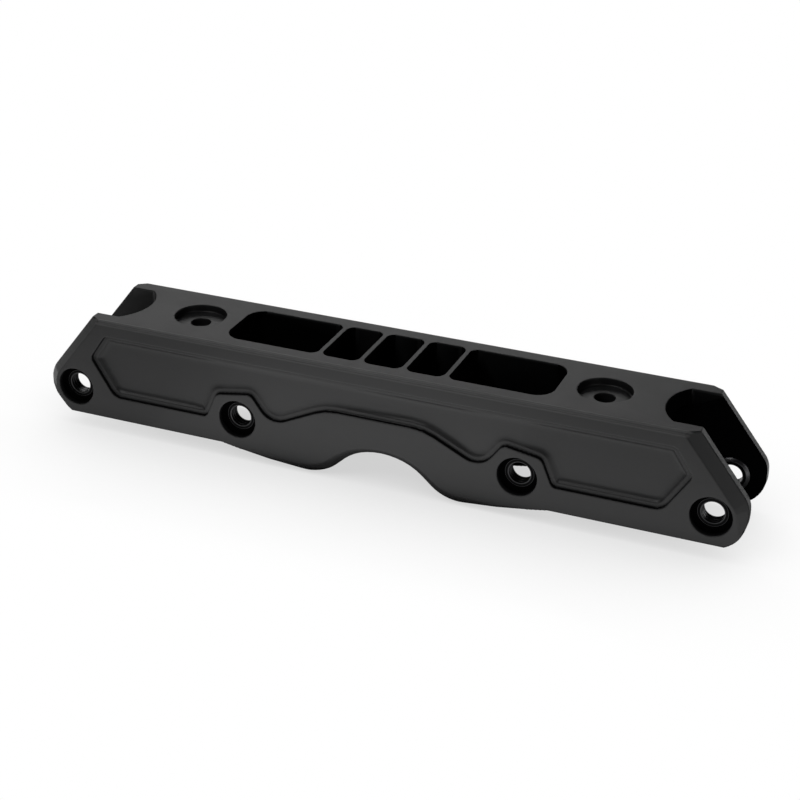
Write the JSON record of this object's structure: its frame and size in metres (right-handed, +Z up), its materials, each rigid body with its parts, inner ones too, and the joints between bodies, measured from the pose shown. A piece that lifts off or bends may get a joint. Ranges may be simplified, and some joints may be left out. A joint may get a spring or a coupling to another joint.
{
  "type": "inline skate frame",
  "caption": "Four-wheel inline skate frame with flat sole mount, panelled side walls, flanged axle bushes and a grind groove.",
  "frame": {"origin": "centre of the two mounting holes, on the flat top face", "axes": "+X along the frame, +Y across it, +Z up out of the top face towards the boot"},
  "size_m": [0.2832, 0.0416, 0.0486],
  "materials": {
    "moulded_body": "matte black moulded plastic",
    "axle_bush": "dark turned metal"
  },
  "bodies": {
    "root": {"frame_body": "moulded_body", "axle_1_bush_right": "axle_bush", "axle_1_bush_left": "axle_bush", "axle_2_bush_right": "axle_bush", "axle_2_bush_left": "axle_bush", "axle_3_bush_right": "axle_bush", "axle_3_bush_left": "axle_bush", "axle_4_bush_right": "axle_bush", "axle_4_bush_left": "axle_bush"}
  },
  "joints": []
}
